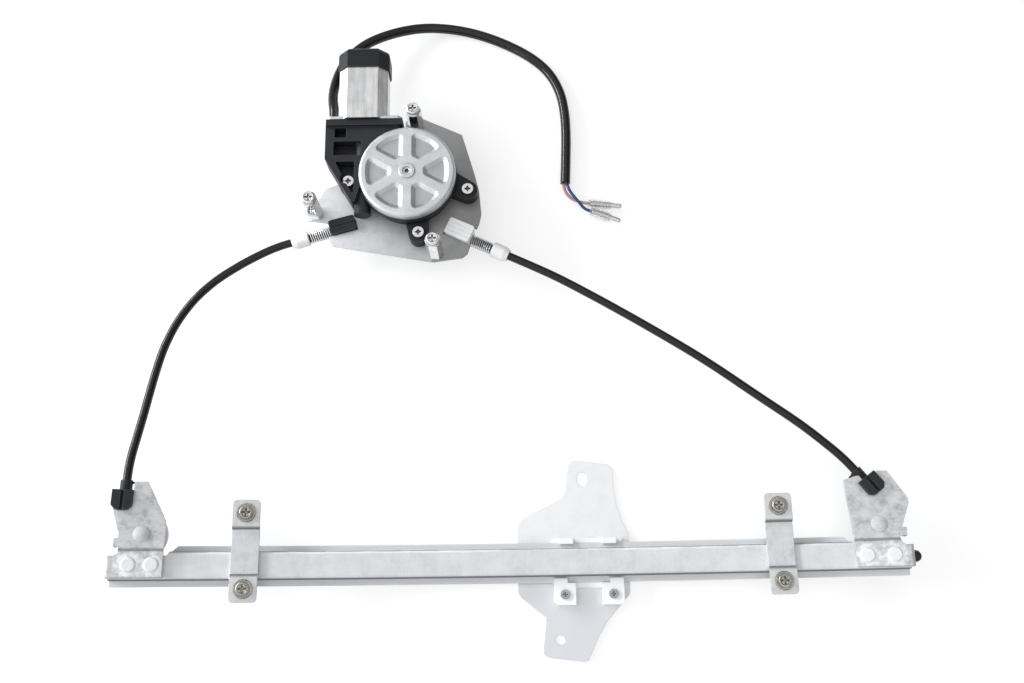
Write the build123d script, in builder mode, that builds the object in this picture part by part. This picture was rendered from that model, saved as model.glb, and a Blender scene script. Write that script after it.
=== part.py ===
from build123d import *
from math import asin, cos, degrees, pi, radians, sin, sqrt, tan
import os

# Window regulator lying on its back: X along the guide rail, Y up the door, Z towards the cabin.
# Origin: middle of the slider, on the surface that the carrier plate lies on. Millimetres.

# Guide rail
rail_radius = 1500.0
rail_sheet = 1.2
rail_face_half = 9.0
rail_flange_half = 13.0
rail_depth = 9.0
rail_left_x = -305.5
rail_right_x = 207.0
rail_bend = 0.8
notch_step_start = 8.0
notch_step_end = 11.0
notch_step_depth = 2.6
upper_flange_setback = 15.5
upper_flange_chamfer = 4.5
notch_clearance = 0.4

# Carrier plate and slider
carrier_sheet = 2.0
shoe_base = 2.6
shoe_gap = 0.4
shoe_lip = 1.6
shoe_low_y = -17.5
shoe_high_y = 16.2
hook_length = 14.4
hook_centre = 16.0
hook_low_y = -27.6
hook_lip_reach = 3.0
tip_length = 9.4
tip_centre = 14.4
tip_width = 2.4
tip_lip_reach = 1.4
holder_length = 40.0
holder_low_y = -4.5
nipple_radius = 1.8
nipple_length = 7.0
nipple_centre = 13.0
nipple_gap = 0.1
slot_width = 6.4
slot_length = 10.2
slot_x = -2.3
slot_y = 56.0
carrier_hole_radius = 3.2
carrier_hole_x = -19.8
carrier_hole_y = -49.7
shoe_screw_y = -20.8
shoe_screw_radius = 2.0
shoe_screw_head_radius = 3.1
shoe_screw_head_height = 1.2

# Lift cable and pulleys
cable_radius = 0.75
cable_gap = 0.35
cable_depth = 4.2
pulley_left_inset = 18.9
pulley_right_inset = 18.3
pulley_y = 19.6
pulley_groove_radius = 14.0
pulley_lip = 1.2
pulley_thickness = 7.0
pulley_bore_radius = 3.0
pulley_hub_radius = 5.0
pulley_web = 1.4
shaft_clearance = 0.05

# End brackets
bracket_sheet = 2.0
bracket_step = 2.5
bracket_bend = 0.6
bracket_run = 2.2
bracket_end_y = 58.0
seat_gap = 0.05
foot_half_length = 19.0
foot_low_y = -7.5
foot_high_y = 9.6
flap_high_y = 6.2
flap_gap = 0.9
flap_depth = 7.0
side_flange_depth = 4.8
side_flange_sheet = 1.4
guard_start_y = 11.5
guard_end_y = 17.0
guard_reach = 16.9
guard_depth = 3.0
rivet_radius = 1.6
rivet_head_radius = 4.8
rivet_head_height = 1.3
rivet_tail_radius = 2.4
axle_head_radius = 5.2
axle_head_height = 1.7
axle_head_rim = 0.4
axle_tail_radius = 4.2
axle_tail_height = 1.0
left_lean = 2.0
right_lean = -37.0
fitting_distance_left = 20.9
fitting_distance_right = 21.4
fitting_width = 12.9
fitting_length = 12.6
fitting_neck = 5.2
fitting_lobe_height = 3.4
fitting_groove = 1.8
fitting_groove_depth = 2.6
fitting_back_radius = 4.8
fitting_collar_radius = 3.9
fitting_collar_length = 7.5
fitting_hook_reach = 2.4
fitting_hook_width = 1.4
fitting_seat = 9.3
fitting_slot_length = 40.0
conduit_radius = 2.85
bore_gap = 0.1

# Rubber stop at the right end
stop_radius = 3.5
stop_length = 5.6
stop_neck_radius = 2.3
stop_tail_radius = 3.6
stop_tail_length = 5.0
stop_y = -1.0
stop_depth = 5.0
stop_bore_start = 30.0
stop_bore_length = 14.0

# Straps
strap_sheet = 2.0
strap_width = 17.6
strap_left_x = -223.0
strap_right_x = 125.5
strap_step = 3.5
strap_run = 1.0
strap_top_y = 41.4
strap_upper_step_y = 24.8
strap_lower_step_y = -7.5
strap_low_y = -23.7
strap_upper_screw_y = 33.0
strap_lower_screw_y = -15.3
strap_corner = 2.8
strap_bend = 0.8

# M6 screws and weld nuts
m6_radius = 3.0
m6_gap = 0.05
strap_screw_flange = 6.1
standoff_screw_flange = 5.3
screw_flange_height = 1.4
screw_head_radius = 4.4
screw_head_height = 3.0
screw_dish_radius = 3.2
screw_dish_depth = 0.5
screw_length = 8.0
recess_length = 5.0
recess_width = 1.3
recess_depth = 1.8
nut_hex = 10.0
nut_height = 4.6

# Motor unit: the drum's axis is its centre, the worm and motor lie beside it
drum_x = -119.5
drum_y = 267.0
plate_sheet = 2.0
plate_back_z = 24.0
drum_groove_radius = 18.2
drum_flange_radius = 20.6
drum_case_radius = 27.0
drum_case_wall = 3.0
drum_case_gap = 1.0
drum_groove_pitch = 3.0
drum_ear_radius = 6.0
drum_ear_height = 8.0
left_exit_z = 20.5
right_exit_z = 17.5
left_exit_angle = 195.0
right_exit_angle = -25.2
gear_case_radius = 31.2
gear_rim_radius = 34.4
gear_rim_height = 5.0
gear_case_height = 16.0
gear_case_floor = 3.0
wheel_radius = 27.4
wheel_thickness = 9.0
wheel_gap = 0.8
output_shaft_radius = 4.0
cap_radius = 34.0
cap_height = 6.5
cap_sheet = 2.0
cap_pockets = 6
pocket_depth = 2.4
pocket_wall_angle = 50.0
pocket_inner_radius = 11.2
pocket_outer_radius = 29.2
pocket_corner = 3.2
pocket_rib = 6.2
pocket_first_angle = 30.0
cap_boss_radius = 5.6
cap_boss_height = 0.6
cap_dish_radius = 3.0
cap_hole_radius = 1.5
cap_hole_depth = 1.8
cap_round = 2.2
cap_wall = 4.0
lug_radius = 7.0
lug_height = 9.0
housing_screw_radius = 2.5
housing_screw_head_radius = 4.0
housing_screw_head_height = 2.6
housing_screw_slot = 4.4
housing_screw_slot_width = 1.0
housing_screw_slot_depth = 1.4
housing_collar = 4.6
motor_offset = 32.2
motor_z = 35.5
worm_radius = 4.2
worm_length = 30.0
worm_tube_radius = 5.9
worm_tube_end = 27.8
worm_tube_wall = 1.6
worm_bore_end = 17.0
junction_height = 18.0
can_width = 34.9
can_depth = 27.0
can_chamfer = 6.4
can_wall = 1.5
can_start = 41.6
can_end = 92.0
can_flange = 2.0
can_flange_width = 54.0
can_flange_shift = 1.2
can_flange_height = 20.5
end_cap_start = 81.6
end_cap_end = 98.0
end_cap_wall = 0.9
end_cap_round = 5.2
armature_radius = 10.0
armature_shaft_radius = 2.5
standoff_hex = 10.0
standoff_height = 26.0
standoff_rivet_radius = 3.4
standoff_points = [(-66.7, -21.8), (4.3, 44.4), (18.5, -53.5)]
lug_points = [(-42.6, -2.0), (41.8, -9.4), (7.2, -41.4)]
lug_roots = [(-29.0, 0.0), (26.0, -1.0), (5.0, -24.0)]
lug_root_radius = 8.6

# Cable exits, measured along the cable from where it leaves the drum
exit_block_start = {"left": 44.3, "right": 38.3}
exit_block_width = {"left": 10.4, "right": 12.5}
exit_block_grooves = {"left": [0.0], "right": [-3.2, 0.0, 3.2]}
exit_block_length = 18.8
exit_block_low_z = 12.0
exit_block_high_z = 29.5
exit_gap = 0.3
exit_spout_half = 6.0
exit_spout_low_z = 12.0
conduit_lead_in = 3.0
spring_wire = 0.5
spring_radius = 4.0
spring_pitch = 1.5
spring_length = 16.2
ferrule_length = 12.5
ferrule_radius = 5.5
ferrule_nose_radius = 4.3

# Motor lead and terminals
lead_radius = 3.65
wire_radius = 1.1
terminal_radius = 3.2
terminal_end_radius = 2.6
terminal_barrel_radius = 1.9
terminal_bore_gap = 0.1
terminal_overlap = 1.5
wire_straight = 6.0
pin_radius = 1.8
pin_length = 7.7

# Cord routes between their ends, chosen by eye from the photograph
left_conduit_route = [
    (-234.6, 211.4, 22.5),
    (-254.1, 197.9, 24.0),
    (-268.5, 183.0, 26.0),
    (-279.2, 164.9, 28.5),
    (-286.1, 145.3, 31.0),
    (-290.5, 122.1, 33.5),
    (-293.8, 99.6, 36.0),
]
right_conduit_route = [
    (-16.0, 197.5, 18.0),
    (14.0, 179.8, 18.5),
    (47.9, 158.6, 19.0),
    (84.5, 134.4, 19.8),
    (120.0, 107.2, 20.8),
    (147.5, 86.5, 22.2),
]
lead_route = [
    (-173.5, 305.0, 34.0),
    (-173.5, 318.5, 33.6),
    (-177.0, 338.0, 28.0),
    (-173.5, 361.0, 21.0),
    (-166.0, 376.0, 18.0),
    (-153.0, 389.0, 15.5),
    (-134.0, 399.0, 12.0),
    (-113.0, 405.8, 7.5),
    (-91.9, 406.4, 4.4),
    (-70.8, 401.8, 3.7),
    (-49.6, 392.8, 3.7),
    (-30.6, 381.5, 3.7),
    (-16.7, 368.3, 3.7),
    (-8.5, 351.7, 3.7),
    (-5.4, 334.1, 3.7),
    (-4.9, 315.0, 3.7),
    (-5.7, 296.2, 3.7),
    (-6.8, 275.5, 3.7),
]
blue_wire_route = [
    (-5.6, 274.8, 3.7),
    (-3.4, 268.2, 4.7),
    (0.6, 262.4, 5.4),
]
pink_wire_route = [
    (-8.2, 274.8, 3.7),
    (-6.6, 268.6, 2.1),
    (-2.0, 263.8, 1.2),
]
terminal_start = {"pink": (11.3, 259.4, 3.1), "blue": (12.4, 252.9, 3.1)}
terminal_end = {"pink": (34.1, 256.7, 3.1), "blue": (32.8, 245.1, 3.1)}

rail_face_z = carrier_sheet + shoe_base + shoe_gap + rail_depth
rail_axis_z = rail_face_z + rail_radius
rail_inner_half = rail_face_half - rail_sheet
plate_front_z = plate_back_z + plate_sheet
pulley_left_x = rail_left_x + pulley_left_inset
pulley_right_x = rail_right_x - pulley_right_inset
gear_case_top_z = plate_front_z + gear_case_height
pulley_radius = pulley_groove_radius + pulley_lip
cable_y = pulley_y - pulley_groove_radius

os.makedirs("parts", exist_ok=True)


def save(name, builder):
    """Labels a finished piece and writes it."""
    builder.part.label = name
    export_step(builder.part, f"parts/{name}.step")


def on_rail(x, height=0.0):
    """Plane touching the rail's face at x: its own x runs along the rail, its z out of the face."""
    angle = asin(x / rail_radius)
    reach = rail_radius - height
    return Plane(
        origin=(reach * sin(angle), 0, rail_axis_z - reach * cos(angle)),
        x_dir=(cos(angle), 0, sin(angle)),
        z_dir=(-sin(angle), 0, cos(angle)),
    )


def side_of(plane):
    """Plane across the rail: x is the door's height, y is out of the rail's face."""
    return Plane(origin=plane.origin, x_dir=plane.y_dir, z_dir=plane.x_dir)


def end_of(plane, y=0.0):
    """Plane along the rail at height y: x runs along it, y is out of its face."""
    return Plane(origin=spot(plane, 0, y), x_dir=plane.x_dir, z_dir=-plane.y_dir)


def seat(x, half_length):
    """Plane that a flat piece of this half length lies on, clear of the curved face."""
    return on_rail(x, half_length**2 / (2 * rail_radius) + seat_gap)


def spot(plane, x, y, z=0.0):
    """World point at a plane's own x, y, z."""
    return plane.from_local_coords(Vector(x, y, z))


def moved(plane, x, y, z=0.0):
    """The same plane with its origin at its own x, y, z."""
    return Plane(origin=spot(plane, x, y, z), x_dir=plane.x_dir, z_dir=plane.z_dir)


def offset_line(points, thickness):
    """Line beside an open line, at a constant distance to its left."""
    result = []
    for i, point in enumerate(points):
        here = Vector(*point)
        before = here - Vector(*points[i - 1]) if i else None
        after = Vector(*points[i + 1]) - here if i < len(points) - 1 else None
        before = before or after
        after = after or before
        first = Vector(-before.Y, before.X).normalized()
        second = Vector(-after.Y, after.X).normalized()
        mitre = (first + second) * (1 / (1 + first.dot(second)))
        result.append((here.X + mitre.X * thickness, here.Y + mitre.Y * thickness))
    return result


def side_radii(points, thickness, bend, left):
    """Radius at each corner of one side of a bent sheet."""
    radii = []
    for a, b, c in zip(points, points[1:], points[2:]):
        turns_left = (b[0] - a[0]) * (c[1] - b[1]) > (b[1] - a[1]) * (c[0] - b[0])
        radii.append(bend if turns_left == left else bend + thickness)
    return radii


def sheet_section(points, thickness, bend):
    """Section of a bent sheet from the line of one of its sides; the sheet lies to the line's left."""
    other = offset_line(points, thickness)
    with BuildSketch() as section:
        with BuildLine():
            FilletPolyline(*points, radius=side_radii(points, thickness, bend, False))
            FilletPolyline(*other, radius=side_radii(points, thickness, bend, True))
            Line(points[0], other[0])
            Line(points[-1], other[-1])
        make_face()
    return section.sketch


def outline(points, corner=0.0):
    """Closed outline with its corners rounded."""
    with BuildSketch() as shape:
        with BuildLine():
            if corner:
                FilletPolyline(*points, radius=corner, close=True)
            else:
                Polyline(*points, close=True)
        make_face()
    return shape.sketch


def dome(radius, rise):
    """Height of a spherical cap halfway between its axis and its rim."""
    ball = (radius**2 + rise**2) / (2 * rise)
    return sqrt(ball**2 - (radius / 2) ** 2) - (ball - rise)


def cord_radii(points):
    """Radius at each corner of a cord, as large as its two runs allow."""
    radii = []
    for a, b, c in zip(points, points[1:], points[2:]):
        first = Vector(*b) - Vector(*a)
        second = Vector(*c) - Vector(*b)
        turn = radians(first.get_angle(second))
        radii.append(0.45 * min(first.length, second.length) / tan(turn / 2))
    return radii


def cord(name, points, radius):
    """A cord's tube along straight runs joined by tangent arcs."""
    start = Vector(*points[0])
    with BuildPart() as tube:
        with BuildLine() as path:
            FilletPolyline(*points, radius=cord_radii(points))
        with BuildSketch(Plane(origin=start, z_dir=Vector(*points[1]) - start)):
            Circle(radius)
        sweep(path=path.wires()[0])
    save(name, tube)
    length = path.wires()[0].length
    share = tube.part.volume / (pi * radius**2 * length)
    print(name, "length", round(length, 1), "volume over section times length", round(share, 4))
    print("   radii", [round(r) for r in cord_radii(points)])


# Stations on the rail
hands = {"left": -1, "right": 1}
station = {"left": on_rail(pulley_left_x), "right": on_rail(pulley_right_x)}
foot_seat = {
    "left": seat(pulley_left_x, foot_half_length),
    "right": seat(pulley_right_x, foot_half_length),
}
rail_end = {
    "left": rail_left_x - pulley_left_x,
    "right": rail_right_x - pulley_right_x,
}
foot_rivets = {"left": [(-7.3, 0.4), (6.7, 0.4)], "right": [(-8.6, 0.0), (8.6, 0.0)]}
conduit_lean = {"left": radians(left_lean), "right": radians(right_lean)}
fitting_distance = {"left": fitting_distance_left, "right": fitting_distance_right}


def cable_off(side):
    """Where the cable leaves a pulley and its direction to the conduit, in the station's x, y."""
    dx, dy = sin(conduit_lean[side]), cos(conduit_lean[side])
    out = (hands[side] * dy, -hands[side] * dx)
    point = (pulley_groove_radius * out[0], pulley_y + pulley_groove_radius * out[1])
    return point, (dx, dy)


def fitting_plane(side):
    """Plane at the conduit fitting's middle: x across it, y along the conduit, z out of the bracket."""
    (x, y), (dx, dy) = cable_off(side)
    base = station[side]
    far = fitting_distance[side]
    across = base.x_dir * dy - base.y_dir * dx
    return Plane(origin=spot(base, x + dx * far, y + dy * far), x_dir=across, z_dir=base.z_dir)


# Guide rail: hat section bent towards the glass, curved in depth, notched for the pulleys
hat_line = [
    (-rail_flange_half, -rail_depth),
    (-rail_inner_half, -rail_depth),
    (-rail_inner_half, -rail_sheet),
    (rail_inner_half, -rail_sheet),
    (rail_inner_half, -rail_depth),
    (rail_flange_half, -rail_depth),
]
notch_y = pulley_y - pulley_radius - notch_clearance
notch_step_y = rail_face_half - notch_step_depth
flange_start = upper_flange_setback + 2
notch_line = [
    (-60, notch_y),
    (notch_step_start, notch_y),
    (notch_step_end, notch_step_y),
    (upper_flange_setback, notch_step_y),
    (flange_start, rail_face_half + 0.2),
    (flange_start + upper_flange_chamfer, rail_flange_half + 0.2),
    (flange_start + upper_flange_chamfer, 30),
    (-60, 30),
]
rail_arc = degrees(asin(rail_right_x / rail_radius) - asin(rail_left_x / rail_radius))
hat_section = sheet_section(hat_line, rail_sheet, rail_bend)

with BuildPart() as guide_rail:
    with BuildSketch(side_of(on_rail(rail_left_x))):
        add(hat_section)
    revolve(axis=Axis((0, 0, rail_axis_z), (0, -1, 0)), revolution_arc=rail_arc)
    for side, hand in hands.items():
        with BuildSketch(station[side].offset(5)):
            with BuildLine():
                Polyline(*[(-hand * u, v) for u, v in notch_line], close=True)
            make_face()
        extrude(amount=-5 - rail_depth - 4, mode=Mode.SUBTRACT)
        with BuildSketch(station[side].offset(3)):
            with Locations(*foot_rivets[side]):
                Circle(rivet_radius + shaft_clearance)
        extrude(amount=-6, mode=Mode.SUBTRACT)
save("guide_rail", guide_rail)

# End brackets: joggled plates riveted to the rail, with an end flap, a side flange and a cable guard
bracket_section = sheet_section(
    [
        (foot_low_y, 0),
        (foot_high_y, 0),
        (foot_high_y + bracket_run, bracket_step),
        (bracket_end_y, bracket_step),
    ],
    bracket_sheet,
    bracket_bend,
)
bracket_outline = {
    "left": [
        (-17.0, foot_low_y),
        (-17.0, 6.2),
        (-14.4, 7.4),
        (-12.9, 13.4),
        (-13.6, 18.0),
        (-19.0, 36.4),
        (-18.6, 44.0),
        (-16.0, 46.6),
        (-6.9, 46.6),
        (-6.6, 52.8),
        (1.8, 52.9),
        (13.9, 28.8),
        (14.6, 20.0),
        (13.8, 9.8),
        (13.6, foot_low_y),
    ],
    "right": [
        (16.0, foot_low_y),
        (16.0, 6.2),
        (14.0, 7.4),
        (11.7, 12.6),
        (14.0, 16.6),
        (20.0, 32.6),
        (19.6, 36.0),
        (8.6, 53.7),
        (2.6, 54.2),
        (-4.0, 51.5),
        (-11.4, 51.1),
        (-19.6, 48.7),
        (-16.3, 12.8),
        (-15.3, foot_low_y),
    ],
}
plate_level = bracket_step + bracket_sheet
side_flange_line = {
    "left": [(13.9, 28.8), (14.6, 20.0), (14.1, 13.6)],
    "right": [(-16.35, 13.4), (-19.4, 46.5)],
}

for side, hand in hands.items():
    base = foot_seat[side]
    flap_x = rail_end[side] + hand * flap_gap
    flap_line = [(flap_x, -flap_depth), (flap_x, 0), (flap_x - hand * 4, 0)]
    if side == "right":
        flap_line.reverse()
    flap_section = sheet_section(flap_line, bracket_sheet, bracket_bend)
    flange_line = side_flange_line[side]
    flange_face = outline(flange_line + offset_line(flange_line, -side_flange_sheet)[::-1])
    guard = [(hand * (guard_reach - 5), guard_start_y), (hand * guard_reach, guard_start_y)]
    guard += [(hand * guard_reach, guard_end_y), (hand * (guard_reach - 4), guard_end_y)]
    neck = fitting_plane(side)
    with BuildPart() as end_bracket:
        with BuildSketch(side_of(base)):
            add(bracket_section)
        extrude(amount=24, both=True)
        with BuildSketch(base.offset(-1)):
            with BuildLine():
                Polyline(*bracket_outline[side], close=True)
            make_face()
        extrude(amount=12, mode=Mode.INTERSECT)
        with BuildSketch(base.offset(bracket_step)):
            with BuildLine():
                Polyline(*guard, close=True)
            make_face()
        extrude(amount=bracket_sheet)
        with BuildSketch(base.offset(plate_level)):
            with Locations((hand * (guard_reach - 0.7), (guard_start_y + guard_end_y) / 2)):
                Rectangle(1.4, guard_end_y - guard_start_y)
        extrude(amount=-plate_level - guard_depth)
        with BuildSketch(base.offset(plate_level)):
            add(flange_face)
        extrude(amount=-side_flange_depth)
        with BuildSketch(end_of(base, flap_high_y)):
            add(flap_section)
        extrude(amount=flap_high_y - foot_low_y)
        with BuildSketch(neck.offset(bracket_step - 1)):
            with Locations((0, (fitting_slot_length - fitting_length) / 2 - bore_gap)):
                Rectangle(fitting_neck + 2 * bore_gap, fitting_slot_length)
        extrude(amount=bracket_sheet + 3, mode=Mode.SUBTRACT)
        with BuildSketch(base.offset(-1)):
            with Locations(*foot_rivets[side]):
                Circle(rivet_radius + shaft_clearance)
            with Locations((0, pulley_y)):
                Circle(pulley_bore_radius)
        extrude(amount=12, mode=Mode.SUBTRACT)
        if side == "right":
            with BuildSketch(Plane(origin=spot(base, stop_bore_start, stop_y, -stop_depth), z_dir=base.x_dir)):
                Circle(stop_neck_radius + bore_gap)
            extrude(amount=-stop_bore_length, mode=Mode.SUBTRACT)
    save(f"{side}_end_bracket", end_bracket)

# Foot rivets, through the bracket's foot and the rail's face
with BuildPart() as bracket_rivets:
    for side in hands:
        base = foot_seat[side]
        sunk = base.offset(-rail_sheet - 2 * seat_gap - foot_half_length**2 / (2 * rail_radius))
        for u, v in foot_rivets[side]:
            with BuildSketch(moved(sunk, u, v)):
                Circle(rivet_radius)
            extrude(amount=rail_sheet + bracket_sheet + 0.5)
            with BuildSketch(moved(base.offset(bracket_sheet), u, v)):
                Circle(rivet_head_radius)
            head = extrude(amount=rivet_head_height, mode=Mode.PRIVATE)
            rim = head.edges().filter_by(GeomType.CIRCLE).sort_by(Axis(base.origin, base.z_dir))[-1]
            add(head.fillet(rivet_head_height - 0.1, [rim]))
            with BuildSketch(moved(sunk, u, v)):
                Circle(rivet_tail_radius)
            extrude(amount=-1.0)
save("bracket_rivets", bracket_rivets)

# Pulleys, with a hub that reaches up to the bracket's plate
groove_root = pulley_groove_radius - cable_radius - 0.1
half = pulley_thickness / 2
hub_top = plate_level - bracket_sheet + cable_depth - 0.1
pulley_profile = [
    (pulley_bore_radius, -half),
    (pulley_hub_radius, -half),
    (pulley_hub_radius, -pulley_web),
    (groove_root - 2.2, -pulley_web),
    (groove_root - 1.2, -half),
    (pulley_radius, -half),
    (pulley_radius, -half + 0.8),
    (groove_root, -cable_radius),
    (groove_root, cable_radius),
    (pulley_radius, half - 0.8),
    (pulley_radius, half),
    (groove_root - 1.2, half),
    (groove_root - 2.2, pulley_web),
    (pulley_hub_radius, pulley_web),
    (pulley_hub_radius, hub_top),
    (pulley_bore_radius, hub_top),
]
for side in hands:
    centre = moved(station[side], 0, pulley_y, -cable_depth)
    with BuildPart() as pulley:
        with BuildSketch(end_of(centre)):
            with BuildLine():
                Polyline(*pulley_profile, close=True)
            make_face()
        revolve(axis=Axis(centre.origin, centre.z_dir))
    save(f"{side}_pulley", pulley)

# Pulley axles: shouldered rivets with a domed head on the bracket
with BuildPart() as pulley_axles:
    for side in hands:
        base = foot_seat[side]
        top = moved(base, 0, pulley_y, plate_level)
        shank = plate_level + cable_depth + half + 0.4
        axle_profile = [
            (0, -shank - axle_tail_height),
            (axle_tail_radius, -shank - axle_tail_height),
            (axle_tail_radius, -shank),
            (pulley_bore_radius - shaft_clearance, -shank),
            (pulley_bore_radius - shaft_clearance, 0),
            (axle_head_radius, 0),
            (axle_head_radius, axle_head_rim),
        ]
        rise = axle_head_height - axle_head_rim
        crown = (axle_head_radius / 2, axle_head_rim + dome(axle_head_radius, rise))
        with BuildSketch(end_of(top)):
            with BuildLine():
                Polyline(*axle_profile)
                ThreePointArc(axle_profile[-1], crown, (0, axle_head_height))
                Line((0, axle_head_height), axle_profile[0])
            make_face()
        revolve(axis=Axis(top.origin, top.z_dir))
save("pulley_axles", pulley_axles)

# Conduit end fittings, astride the bracket's edge
conduit_end = {}
hook_y = fitting_length / 2 + fitting_collar_length - fitting_hook_width
for side, hand in hands.items():
    neck = fitting_plane(side)
    seat_lift = (foot_seat[side].origin - station[side].origin).length
    back = seat_lift + bracket_step - bore_gap / 2
    front = seat_lift + plate_level + bore_gap / 2
    axis_plane = moved(neck, 0, 0, -cable_depth)
    along = Plane(origin=spot(axis_plane, 0, -fitting_length / 2), z_dir=neck.y_dir)
    with BuildPart() as fitting:
        with BuildSketch(along):
            Circle(fitting_back_radius)
        extrude(amount=fitting_length)
        with BuildSketch(along):
            Circle(fitting_collar_radius)
        extrude(amount=fitting_length + fitting_collar_length)
        with BuildSketch(neck.offset(-cable_depth)):
            Rectangle(2 * fitting_back_radius, fitting_length)
        extrude(amount=cable_depth + back)
        with BuildSketch(neck.offset(back - 1)):
            Rectangle(fitting_neck, fitting_length)
        extrude(amount=front - back + 2)
        with BuildSketch(neck.offset(front)):
            Rectangle(fitting_width, fitting_length)
            chamfer(vertices().sort_by(Axis.Y)[:2], 2.6)
        extrude(amount=fitting_lobe_height)
        with BuildSketch(neck.offset(front + fitting_lobe_height)):
            Rectangle(fitting_groove, fitting_length)
        extrude(amount=-fitting_groove_depth, mode=Mode.SUBTRACT)
        with BuildSketch(axis_plane.offset(-fitting_hook_width / 2)):
            with Locations((-hand * (fitting_collar_radius + 0.5 * fitting_hook_reach - 1), hook_y)):
                Rectangle(fitting_hook_reach + 2, fitting_hook_width)
        extrude(amount=fitting_hook_width)
        with BuildSketch(along):
            Circle(cable_radius + cable_gap)
        extrude(amount=fitting_length, mode=Mode.SUBTRACT)
        with BuildSketch(along.offset(fitting_seat)):
            Circle(conduit_radius + bore_gap)
        extrude(amount=fitting_length + fitting_collar_length, mode=Mode.SUBTRACT)
    conduit_end[side] = along.offset(fitting_seat).origin
    save(f"{side}_conduit_fitting", fitting)

# Lift cable: round one pulley, along the channel, round the other and up to both conduits
level = {side: station[side].offset(-cable_depth) for side in hands}
leaves = {}
turns = {}
meets = {}
for side in hands:
    point, direction = cable_off(side)
    turn = (Vector(0, -1) + (Vector(*point) - Vector(0, pulley_y)).normalized()).normalized()
    leaves[side] = spot(level[side], *point)
    turns[side] = spot(
        level[side], pulley_groove_radius * turn.X, pulley_y + pulley_groove_radius * turn.Y
    )
    meets[side] = spot(level[side], 0, cable_y)
with BuildPart() as lift_cable:
    with BuildLine() as cable_line:
        Line(conduit_end["left"], leaves["left"])
        ThreePointArc(leaves["left"], turns["left"], meets["left"])
        ThreePointArc(meets["left"], spot(on_rail(0, -cable_depth), 0, cable_y), meets["right"])
        ThreePointArc(meets["right"], turns["right"], leaves["right"])
        Line(leaves["right"], conduit_end["right"])
    with BuildSketch(Plane(origin=conduit_end["left"], z_dir=leaves["left"] - conduit_end["left"])):
        Circle(cable_radius)
    sweep(path=cable_line.wires()[0])
save("lift_cable", lift_cable)
print("lift cable length", round(cable_line.wires()[0].length, 1))

# Rubber stop in the rail's right end, its tail through the bracket's flap
flap_inner = rail_end["right"] + flap_gap
stop_plane = end_of(moved(foot_seat["right"], flap_inner, stop_y, -stop_depth))
stop_profile = [
    (-stop_length, 0),
    (-stop_length, stop_radius - 0.8),
    (-stop_length + 0.8, stop_radius),
    (-bore_gap, stop_radius),
    (-bore_gap, stop_neck_radius),
    (bracket_sheet + bore_gap, stop_neck_radius),
    (bracket_sheet + bore_gap, stop_tail_radius),
]
stop_rise = dome(stop_tail_radius, stop_tail_length)
stop_shoulder = (bracket_sheet + bore_gap + stop_rise, stop_tail_radius / 2)
stop_tip = (bracket_sheet + bore_gap + stop_tail_length, 0)
with BuildPart() as rail_stop:
    with BuildSketch(stop_plane):
        with BuildLine():
            Polyline(*stop_profile)
            ThreePointArc(stop_profile[-1], stop_shoulder, stop_tip)
            Line(stop_tip, stop_profile[0])
        make_face()
    revolve(axis=Axis(stop_plane.origin, stop_plane.x_dir))
save("rail_stop", rail_stop)

# Straps: joggled plates on the rail's face with a screw tab at each end
strap_line = [
    (strap_low_y, strap_step),
    (strap_lower_step_y - strap_run, strap_step),
    (strap_lower_step_y + 0.6, 0),
    (strap_upper_step_y - strap_run, 0),
    (strap_upper_step_y + 0.6, strap_step),
    (strap_top_y, strap_step),
]
strap_section = sheet_section(strap_line, strap_sheet, strap_bend)
strap_seat = {
    "left": seat(strap_left_x, strap_width / 2),
    "right": seat(strap_right_x, strap_width / 2),
}
tab_back = strap_step
tab_front = strap_step + strap_sheet
for side in hands:
    base = strap_seat[side]
    with BuildPart() as strap:
        with BuildSketch(side_of(base)):
            add(strap_section)
        extrude(amount=strap_width / 2, both=True)
        corners = strap.edges().filter_by(lambda e: abs(e.length - strap_sheet) < 0.01)
        ends = corners.filter_by(lambda e: abs(e.center().Y - strap_top_y) < 0.01)
        ends += corners.filter_by(lambda e: abs(e.center().Y - strap_low_y) < 0.01)
        fillet(ends.filter_by(lambda e: abs(e.tangent_at(0.5).Z) > 0.9), strap_corner)
        with BuildSketch(base.offset(-1)):
            with Locations((0, strap_upper_screw_y), (0, strap_lower_screw_y)):
                Circle(m6_radius + m6_gap)
        extrude(amount=12, mode=Mode.SUBTRACT)
    save(f"{side}_strap", strap)


def flange_screw(plane, flange_radius):
    """M6 screw, its flange on the plane: a dished pan head with a cross recess."""
    head_top = screw_flange_height + screw_head_height
    along = Axis(plane.origin, plane.z_dir)
    with BuildPart() as screw:
        with BuildSketch(plane):
            Circle(flange_radius)
        extrude(amount=screw_flange_height)
        chamfer(screw.edges().sort_by(along)[-1], 0.5)
        with BuildSketch(plane.offset(screw_flange_height)):
            Circle(screw_head_radius)
        extrude(amount=screw_head_height)
        fillet(screw.edges().sort_by(along)[-1], 0.9)
        with BuildSketch(plane.offset(head_top)):
            Circle(screw_dish_radius)
        extrude(amount=-screw_dish_depth, taper=45, mode=Mode.SUBTRACT)
        with BuildSketch(plane.offset(head_top)):
            Rectangle(recess_length, recess_width)
            Rectangle(recess_width, recess_length)
        extrude(amount=-recess_depth, mode=Mode.SUBTRACT)
        with BuildSketch(plane):
            Circle(m6_radius)
        extrude(amount=-screw_length)
        chamfer(screw.faces().sort_by(along)[0].edges(), 0.6)
    return screw.part


# Strap screws and their weld nuts
strap_points = [(side, y) for side in hands for y in (strap_upper_screw_y, strap_lower_screw_y)]
with BuildPart() as strap_screws:
    for side, y in strap_points:
        add(flange_screw(moved(strap_seat[side], 0, y, tab_front), strap_screw_flange))
save("strap_screws", strap_screws)

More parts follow.
